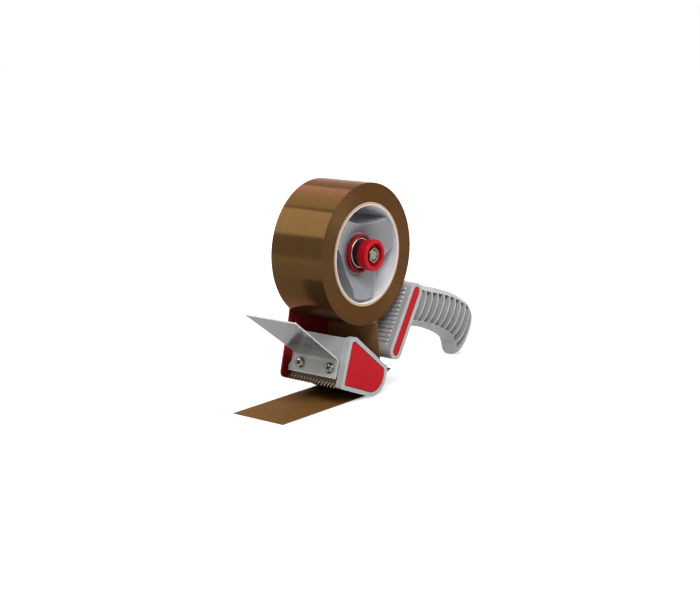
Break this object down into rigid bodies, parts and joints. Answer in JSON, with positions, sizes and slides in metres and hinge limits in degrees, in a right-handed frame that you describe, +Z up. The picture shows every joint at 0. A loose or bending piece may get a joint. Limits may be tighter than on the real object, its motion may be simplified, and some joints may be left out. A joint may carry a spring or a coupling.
{
  "type": "packing tape dispenser",
  "caption": "Hand-held dispenser for 50 mm packing tape: side plate, ribbed grip, braked hub with knob, pressure roller, serrated blade and clear flap, loaded with a brown roll.",
  "frame": {"origin": "middle of the footprint, on the table that the dispenser stands on", "axes": "+X towards the grip, -X towards the free end of the tape, +Y across the tape towards the side plate, +Z up"},
  "size_m": [0.2724, 0.064, 0.1681],
  "materials": {
    "red_steel": "red powder coat on steel sheet",
    "bright_steel": "bright zinc or nickel plate",
    "grey_moulding": "light grey moulded plastic, satin",
    "red_inset": "red moulded inset panel, smooth",
    "blade_steel": "serrated spring steel strip",
    "clear_flap": "bent clear plastic sheet, slightly grey",
    "axle_steel": "turned bright steel",
    "spring_steel": "bright spring wire",
    "dark_fibre": "dark friction fibre",
    "brown_film": "brown adhesive tape film, semi-gloss",
    "brown_tape": "wound brown adhesive tape",
    "card_core": "spiral wound card tube with a pale liner",
    "grey_hub": "grey moulded plastic, satin",
    "red_knob": "red moulded plastic",
    "black_rubber": "black rubber",
    "pale_plastic": "pale moulded plastic",
    "black_plastic": "black moulded plastic"
  },
  "bodies": {
    "frame": {"side_plate": "red_steel", "beam_screw_low": "bright_steel", "beam_screw_high": "bright_steel", "head_screw_low": "bright_steel", "head_screw_high": "bright_steel", "handle_moulding": "grey_moulding", "beam_panel": "red_inset", "head_housing": "grey_moulding", "cheek_panel": "red_inset", "cutting_blade": "blade_steel", "wiper_flap": "clear_flap", "flap_screw_near": "bright_steel", "flap_screw_far": "bright_steel", "roller_axle": "axle_steel", "axle_clip": "spring_steel", "stop_pin": "axle_steel", "stop_spring": "spring_steel", "hub_spindle": "axle_steel", "friction_washer": "dark_fibre", "brake_cup": "red_knob", "tension_spring": "spring_steel", "tape_lead": "brown_film"},
    "roll": {"tape_roll": "brown_tape", "roll_core": "card_core", "core_hub": "grey_hub"},
    "roller": {"roller_sleeve": "black_rubber", "roller_core": "pale_plastic"},
    "stop": {"tape_stop": "black_plastic"},
    "washer": {"thrust_washer": "bright_steel"},
    "knob": {"tension_knob": "red_knob", "knob_nut": "bright_steel"}
  },
  "joints": [
    {"name": "roll_spin", "type": "hinge", "parent": "frame", "child": "roll", "pos_m": [-0.03445, 0.0007, 0.1125], "axis": [0, 1, 0], "continuous": true},
    {"name": "roller_spin", "type": "hinge", "parent": "frame", "child": "roller", "pos_m": [-0.03515, 0.0007, 0.0174], "axis": [0, 1, 0], "continuous": true},
    {"name": "stop_swing", "type": "hinge", "parent": "frame", "child": "stop", "pos_m": [-0.01265, 0.0007, 0.015], "axis": [0, 1, 0], "range_deg": [0, 18], "stiffness_Nm_per_rad": 0.002, "springref_deg": -20.05, "deforming": ["stop_spring"]},
    {"name": "knob_travel", "type": "slide", "parent": "frame", "child": "washer", "axis": [0, 1, 0], "range_m": [0, 0.0013], "deforming": ["tension_spring"]},
    {"name": "knob_turn", "type": "hinge", "parent": "washer", "child": "knob", "pos_m": [-0.03445, -0.0278, 0.1125], "axis": [0, 1, 0], "range_deg": [0, 360]}
  ],
  "couplings": [
    {"joint": "knob_travel", "follows": "knob_turn", "m_per_rad": 0.00019894}
  ]
}
